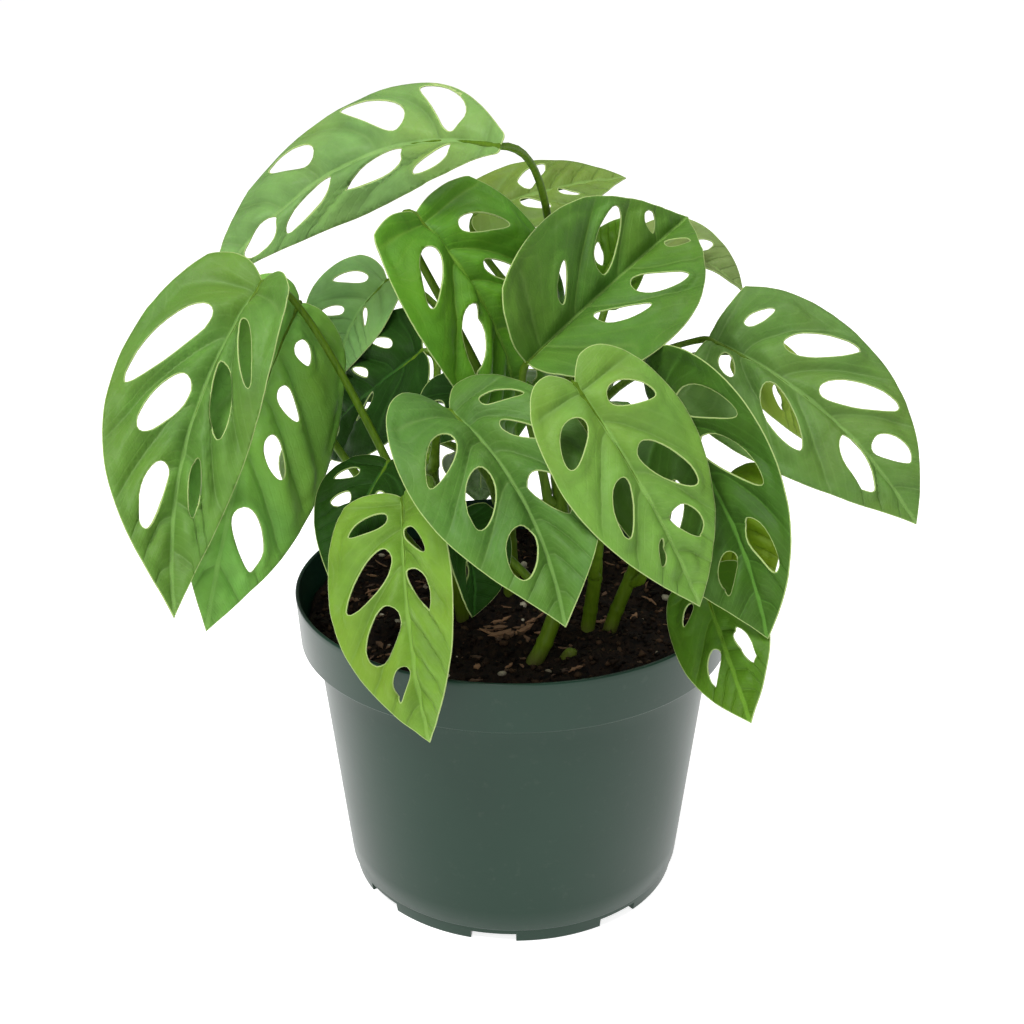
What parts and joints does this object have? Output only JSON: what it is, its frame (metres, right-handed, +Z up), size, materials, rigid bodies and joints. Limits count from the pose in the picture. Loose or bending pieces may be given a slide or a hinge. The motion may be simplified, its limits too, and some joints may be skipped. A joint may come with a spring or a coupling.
{
  "type": "potted monstera plant",
  "caption": "Potted swiss-cheese monstera: heart-shaped green leaves with oval holes on slender stalks, growing from soil in a round plastic nursery pot with a rim band and foot notches.",
  "frame": {"origin": "middle of the pot's flat underside", "axes": "+Z up, the front of the plant faces -Y, +X to its right as seen from the front"},
  "size_m": [0.2696, 0.2306, 0.2839],
  "materials": {
    "pot_plastic": "dark green moulded plastic, satin",
    "potting_mix": null,
    "stem": null,
    "leaf_bright": null,
    "leaf_light": null,
    "leaf_mid": null,
    "leaf_dark": null
  },
  "bodies": {
    "root": {"leaf_01": "leaf_mid", "leaf_02": "leaf_mid", "leaf_03": "leaf_light", "leaf_04": "leaf_mid", "leaf_05": "leaf_dark", "leaf_06": "leaf_mid", "leaf_07": "leaf_light", "leaf_08": "leaf_bright", "leaf_09": "leaf_mid", "leaf_10": "leaf_mid", "leaf_11": "leaf_dark", "leaf_12": "leaf_mid", "leaf_13": "leaf_dark", "leaf_14": "leaf_dark", "leaf_15": "leaf_mid", "leaf_16": "leaf_mid", "leaf_17": "leaf_dark", "leaf_18": "leaf_light", "leaf_19": "leaf_light", "leaf_20": "leaf_mid", "leaf_21": "leaf_dark", "leaf_22": "leaf_mid", "leaf_23": "leaf_mid", "leaf_24": "leaf_mid", "leaf_25": "leaf_light", "leaf_26": "leaf_bright", "pot": "pot_plastic", "soil": "potting_mix", "stem_back": "stem", "stem_fork_left": "stem", "stem_fork_right": "stem", "stem_front": "stem", "stem_left": "stem", "stem_middle": "stem", "stem_stub": "stem"}
  },
  "joints": []
}
